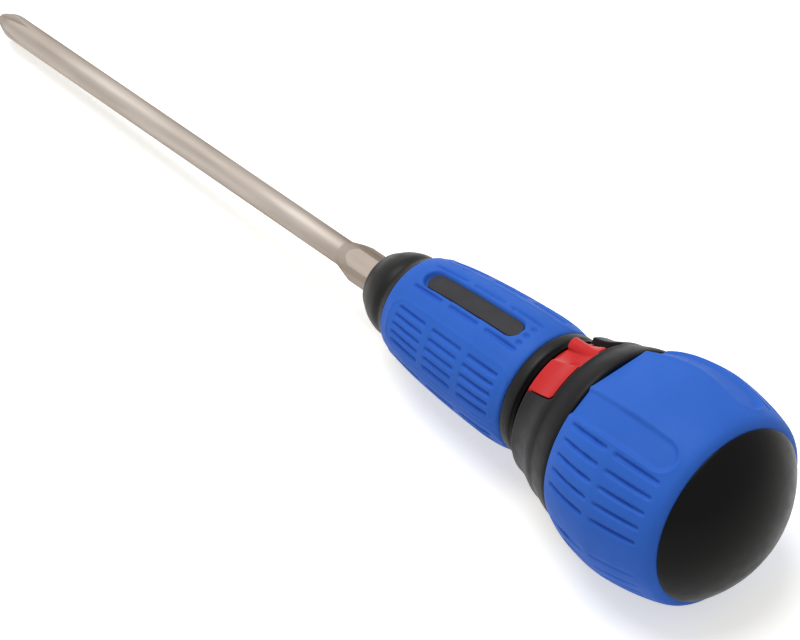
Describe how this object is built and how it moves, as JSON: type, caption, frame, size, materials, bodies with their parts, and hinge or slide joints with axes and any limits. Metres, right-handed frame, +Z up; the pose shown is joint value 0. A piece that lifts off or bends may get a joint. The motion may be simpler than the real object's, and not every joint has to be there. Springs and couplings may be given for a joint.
{
  "type": "ratcheting screwdriver",
  "caption": "Ratcheting screwdriver with a ball handle, turning front grip, direction lever and push-in cross-point hex bit.",
  "frame": {"origin": "on the drive axis, in the plane of the nose mouth where the bit goes in", "axes": "+X along the blade towards its tip, +Z up as the tool lies in the picture, +Y to its side"},
  "size_m": [0.21, 0.0406, 0.0386],
  "materials": {
    "bit_steel": "satin warm nickel plate",
    "black_plastic": "fine satin moulding",
    "blue_rubber": "matte soft-touch rubber",
    "inlay_black": "satin, bare",
    "shaft_steel": "ground steel",
    "spring_steel": "spring wire",
    "magnet": "plated magnet",
    "hard_steel": "hardened steel",
    "housing_steel": "blackened steel",
    "bronze": "sintered bronze",
    "washer_plastic": "nylon",
    "red_plastic": "smooth red moulding",
    "collar_black": "fine satin moulding",
    "cap_black": "smooth satin moulding, bare"
  },
  "bodies": {
    "handle": {"pawl_pins": "shaft_steel", "pawl_spring": "spring_steel", "ratchet_housing": "housing_steel", "front_bush": "bronze", "rear_bush": "bronze", "detent_ball": "hard_steel", "detent_spring": "spring_steel", "ratchet_collar": "collar_black", "rear_core": "black_plastic", "ball_grip": "blue_rubber", "end_cap": "cap_black", "thrust_washer": "washer_plastic", "tail_washer": "shaft_steel"},
    "spindle": {"spindle_shaft": "shaft_steel", "ratchet_gear": "hard_steel", "front_core": "black_plastic", "front_grip": "blue_rubber", "inlay_plate": "inlay_black", "nose_collar": "black_plastic", "chuck_ring": "spring_steel", "chuck_magnet": "magnet", "retaining_ring": "spring_steel"},
    "bit": {"screwdriver_bit": "bit_steel"},
    "selector": {"selector_ring": "red_plastic"},
    "forward_pawl": {"forward_pawl": "hard_steel"},
    "reverse_pawl": {"reverse_pawl": "hard_steel"}
  },
  "joints": [
    {"name": "spindle_spin", "type": "hinge", "parent": "handle", "child": "spindle", "pos_m": [-0.047, 0, 0], "axis": [1, 0, 0], "continuous": true},
    {"name": "bit_slide", "type": "slide", "parent": "spindle", "child": "bit", "axis": [1, 0, 0], "range_m": [0, 0.034]},
    {"name": "selector_turn", "type": "hinge", "parent": "handle", "child": "selector", "pos_m": [-0.0505, 0, 0], "axis": [1, 0, 0], "range_deg": [0, 14], "deforming": ["pawl_spring"]},
    {"name": "forward_pawl_turn", "type": "hinge", "parent": "handle", "child": "forward_pawl", "pos_m": [-0.0515, -0.00372, -0.00731], "axis": [1, 0, 0], "range_deg": [0, 12]},
    {"name": "reverse_pawl_turn", "type": "hinge", "parent": "handle", "child": "reverse_pawl", "pos_m": [-0.0515, 0.00372, -0.00731], "axis": [1, 0, 0], "range_deg": [0, 12]}
  ],
  "couplings": [
    {"joint": "forward_pawl_turn", "follows": "selector_turn", "ratio": 0.85714},
    {"joint": "reverse_pawl_turn", "follows": "selector_turn", "ratio": 0.85714}
  ]
}
